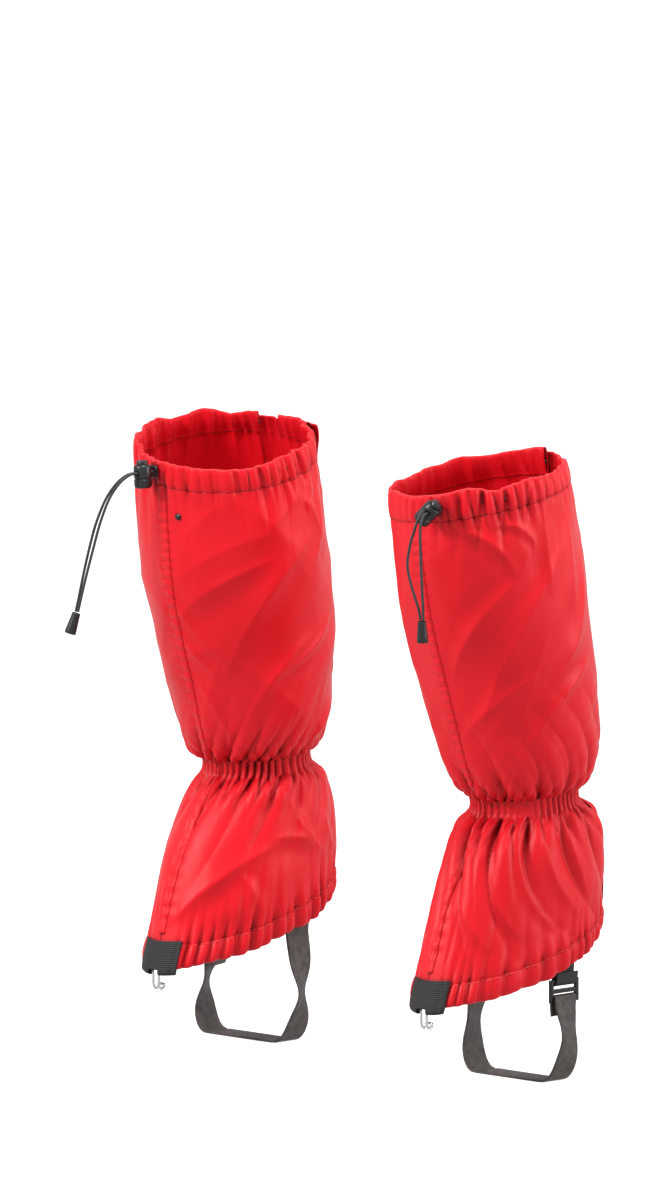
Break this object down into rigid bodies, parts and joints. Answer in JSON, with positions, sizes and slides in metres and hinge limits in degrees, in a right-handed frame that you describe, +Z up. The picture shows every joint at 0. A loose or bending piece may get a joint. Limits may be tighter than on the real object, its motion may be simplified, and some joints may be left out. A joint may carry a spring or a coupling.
{
  "type": "gaiters",
  "caption": "Pair of knee-high cloth gaiters with drawcord top hems, gathered elastic ankles, rear closure flaps, lace hooks and instep straps, held in the shape they take when worn.",
  "frame": {"origin": "on the ground plane, midway between the two leg axes at the ankle, level with the undersides of the instep straps", "axes": "+Z up, -Y towards the toes, +X towards the wearer's left"},
  "size_m": [0.4324, 0.2398, 0.4933],
  "materials": {
    "red_cloth": "woven nylon with a faint coated sheen",
    "black_webbing": "ribbed woven webbing, matte",
    "hook_and_loop": "fuzzy, matte",
    "elastic": "ribbed elastic, matte",
    "shock_cord": "braided sleeve over rubber",
    "strap_webbing": "coated webbing, satin",
    "black_plastic": "moulded, satin",
    "steel_wire": "polished wire"
  },
  "bodies": {
    "root": {"left_outer_panel": "red_cloth", "left_inner_panel": "red_cloth", "left_front_seam": "red_cloth", "left_top_hem": "red_cloth", "left_lower_hem": "red_cloth", "left_ankle_elastic": "elastic", "left_hem_elastic": "elastic", "left_hem_cord": "shock_cord", "left_loop_strip": "hook_and_loop", "left_heel_flap": "red_cloth", "left_hook_patch": "black_webbing", "left_outer_strap_anchor": "black_webbing", "left_inner_strap_anchor": "black_webbing", "left_cord_a": "shock_cord", "left_cord_b": "shock_cord", "left_cord_end": "black_plastic", "left_eyelet": "black_plastic", "right_outer_panel": "red_cloth", "right_inner_panel": "red_cloth", "right_front_seam": "red_cloth", "right_top_hem": "red_cloth", "right_lower_hem": "red_cloth", "right_ankle_elastic": "elastic", "right_hem_elastic": "elastic", "right_hem_cord": "shock_cord", "right_loop_strip": "hook_and_loop", "right_heel_flap": "red_cloth", "right_hook_patch": "black_webbing", "right_outer_strap_anchor": "black_webbing", "right_inner_strap_anchor": "black_webbing", "right_cord_a": "shock_cord", "right_cord_b": "shock_cord", "right_cord_end": "black_plastic", "right_eyelet": "black_plastic", "right_snap_stud": "black_plastic"},
    "left_lock": {"left_lock_body": "black_plastic", "left_lock_spring": "steel_wire"},
    "left_button": {"left_lock_button": "black_plastic"},
    "left_hook": {"left_lace_hook": "steel_wire"},
    "left_strap": {"left_strap_tab": "black_webbing", "left_strap_buckle": "black_plastic", "left_instep_strap": "strap_webbing"},
    "left_flap": {"left_calf_flap": "red_cloth", "left_hook_strip": "hook_and_loop"},
    "right_lock": {"right_lock_body": "black_plastic", "right_lock_spring": "steel_wire"},
    "right_button": {"right_lock_button": "black_plastic"},
    "right_hook": {"right_lace_hook": "steel_wire"},
    "right_strap": {"right_strap_tab": "black_webbing", "right_strap_buckle": "black_plastic", "right_instep_strap": "strap_webbing"},
    "right_flap": {"right_calf_flap": "red_cloth", "right_hook_strip": "hook_and_loop"}
  },
  "joints": [
    {"name": "left_lock_slide", "type": "slide", "parent": "root", "child": "left_lock", "axis": [0.309, -0.9511, 0], "range_m": [0, 0.005]},
    {"name": "left_button_press", "type": "slide", "parent": "left_lock", "child": "left_button", "axis": [-0.6725, -0.2185, -0.7071], "range_m": [0, 0.003], "stiffness_N_per_m": 250, "springref_m": -0.004, "deforming": ["left_lock_spring"]},
    {"name": "left_hook_swing", "type": "hinge", "parent": "root", "child": "left_hook", "pos_m": [0.148, -0.1116, 0.06263], "axis": [1, 0, 0], "range_deg": [-60, 40]},
    {"name": "left_strap_swing", "type": "hinge", "parent": "root", "child": "left_strap", "pos_m": [0.148, 0.003, 0.1], "axis": [1, 0, 0], "range_deg": [-30, 45]},
    {"name": "left_flap_open", "type": "hinge", "parent": "root", "child": "left_flap", "pos_m": [0.16987, 0.05012, 0.34075], "axis": [0.0138, 0.1372, -0.9905], "range_deg": [0, 95]},
    {"name": "right_lock_slide", "type": "slide", "parent": "root", "child": "right_lock", "axis": [-0.0872, -0.9962, 0], "range_m": [0, 0.005]},
    {"name": "right_button_press", "type": "slide", "parent": "right_lock", "child": "right_button", "axis": [0.0695, -0.0061, -0.9976], "range_m": [0, 0.003], "stiffness_N_per_m": 250, "springref_m": -0.004, "deforming": ["right_lock_spring"]},
    {"name": "right_hook_swing", "type": "hinge", "parent": "root", "child": "right_hook", "pos_m": [-0.148, -0.1116, 0.06263], "axis": [1, 0, 0], "range_deg": [-60, 40]},
    {"name": "right_strap_swing", "type": "hinge", "parent": "root", "child": "right_strap", "pos_m": [-0.148, 0.003, 0.1], "axis": [1, 0, 0], "range_deg": [-30, 45]},
    {"name": "right_flap_open", "type": "hinge", "parent": "root", "child": "right_flap", "pos_m": [-0.16987, 0.05012, 0.34075], "axis": [0.0138, -0.1372, 0.9905], "range_deg": [0, 95]}
  ]
}
